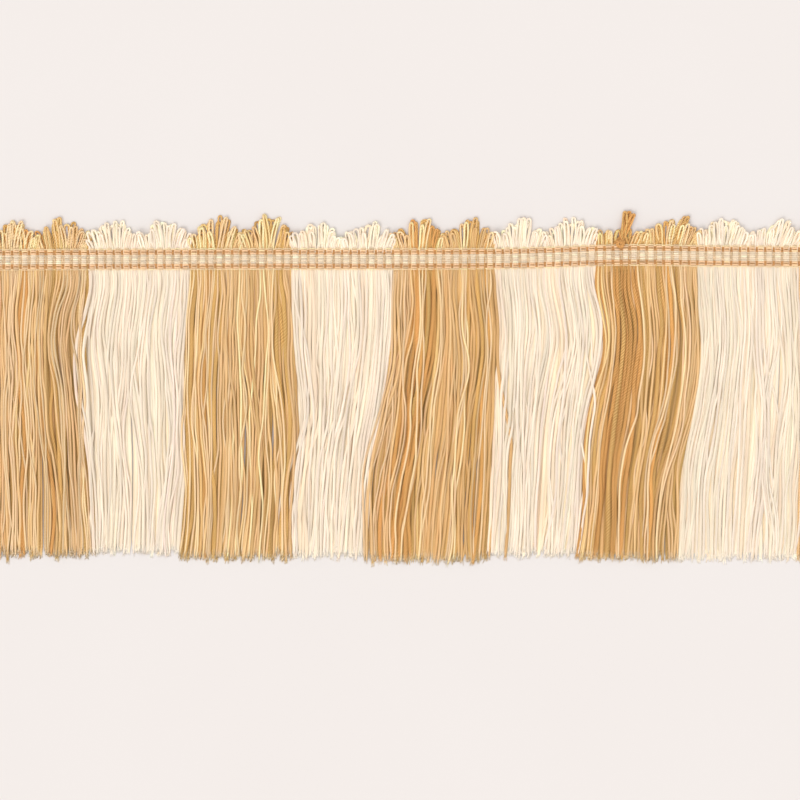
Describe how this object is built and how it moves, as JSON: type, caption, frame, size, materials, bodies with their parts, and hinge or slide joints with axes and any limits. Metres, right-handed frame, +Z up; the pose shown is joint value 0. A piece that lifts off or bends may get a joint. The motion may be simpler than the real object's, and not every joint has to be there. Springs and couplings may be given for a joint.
{
  "type": "cut fringe trim",
  "caption": "Length of ribbed woven heading tape with scalloped yarn loops along one edge and a long cut yarn skirt along the other, in alternating tan and cream blocks.",
  "frame": {"origin": "middle of the heading tape's back, the flat face that is sewn on", "axes": "+X along the tape, +Y from the cut skirt towards the looped edge, +Z up from the surface that it lies on, out of the tape's ribbed face"},
  "size_m": [0.3816, 0.1618, 0.0034],
  "materials": {
    "tape_weave": "matt ribbed weave of cream and rust warp threads",
    "tan_yarn": "matt twisted yarn, straw and golden-brown strands mixed",
    "cream_yarn": "matt twisted yarn, ivory and pale peach strands mixed"
  },
  "bodies": {
    "root": {"heading_tape": "tape_weave", "fringe_tan_1": "tan_yarn", "fringe_cream_2": "cream_yarn", "fringe_tan_3": "tan_yarn", "fringe_cream_4": "cream_yarn", "fringe_tan_5": "tan_yarn", "fringe_cream_6": "cream_yarn", "fringe_tan_7": "tan_yarn", "fringe_cream_8": "cream_yarn", "fringe_tan_9": "tan_yarn"}
  },
  "joints": []
}
